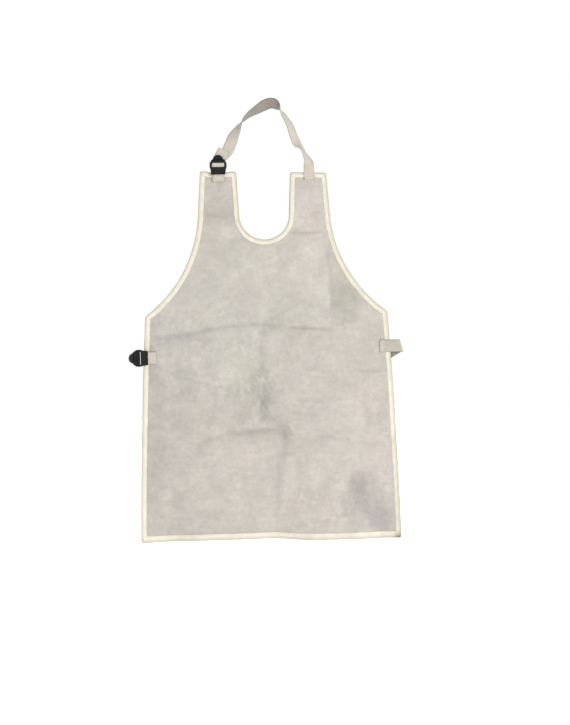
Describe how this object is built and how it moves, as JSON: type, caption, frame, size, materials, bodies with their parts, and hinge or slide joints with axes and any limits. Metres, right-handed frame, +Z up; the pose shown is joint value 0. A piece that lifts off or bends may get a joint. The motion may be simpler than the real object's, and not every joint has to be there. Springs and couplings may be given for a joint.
{
  "type": "bib apron",
  "caption": "Split leather bib apron with bound edges, an adjustable webbing neck strap and a waist strap that closes in a ladder-lock buckle.",
  "frame": {"origin": "the point at the top of the neck strap where a hook or peg holds the apron, at the middle of the webbing", "axes": "+X to the right as seen from the front, +Y from the front to the back, +Z up as the apron hangs"},
  "size_m": [0.664, 0.0445, 1.0716],
  "materials": {
    "leather": "suede nap, matt",
    "binding_tape": "woven cotton tape, matt",
    "thread": "spun thread",
    "webbing": "woven webbing, matt",
    "buckle_plastic": "moulded, fine texture"
  },
  "bodies": {
    "apron": {"leather_panel": "leather", "neckline_binding": "binding_tape", "left_side_binding": "binding_tape", "right_side_binding": "binding_tape", "hem_binding": "binding_tape", "neckline_stitching": "thread", "left_side_stitching": "thread", "right_side_stitching": "thread", "hem_stitching": "thread", "neck_buckle_loop_stitching": "thread", "neck_strap_stitching": "thread", "waist_buckle_patch_stitching": "thread", "waist_strap_stitching": "thread", "neck_buckle_loop": "webbing", "neck_strap_sewn_end": "webbing", "waist_buckle_patch": "webbing", "waist_strap_sewn_end": "webbing"},
    "neck_strap": {"neck_strap": "webbing", "neck_strap_threading": "webbing", "neck_buckle": "buckle_plastic"},
    "neck_strap_tail": {"neck_strap_tail": "webbing"},
    "waist_buckle": {"waist_buckle": "buckle_plastic", "waist_buckle_loop": "webbing"},
    "waist_strap": {"waist_strap_fold": "webbing", "waist_strap": "webbing", "waist_strap_hank": "webbing", "waist_strap_wrap": "webbing"}
  },
  "joints": [
    {"name": "neck_strap_fold", "type": "hinge", "parent": "apron", "child": "neck_strap", "pos_m": [-0.028, -0.00465, -0.1625], "axis": [-1, 0, 0], "range_deg": [-12, 90]},
    {"name": "neck_strap_adjust", "type": "slide", "parent": "neck_strap", "child": "neck_strap_tail", "axis": [0.5, 0, 0.866], "range_m": [0, 0.035]},
    {"name": "waist_buckle_lift", "type": "hinge", "parent": "apron", "child": "waist_buckle", "pos_m": [-0.3115, -0.00435, -0.611], "axis": [0, 0, 1], "range_deg": [0, 90]},
    {"name": "waist_strap_swing", "type": "hinge", "parent": "apron", "child": "waist_strap", "pos_m": [0.293, 0.0019, -0.5945], "axis": [0.2588, 0, -0.9659], "range_deg": [0, 165], "deforming": ["waist_strap_fold"]}
  ]
}
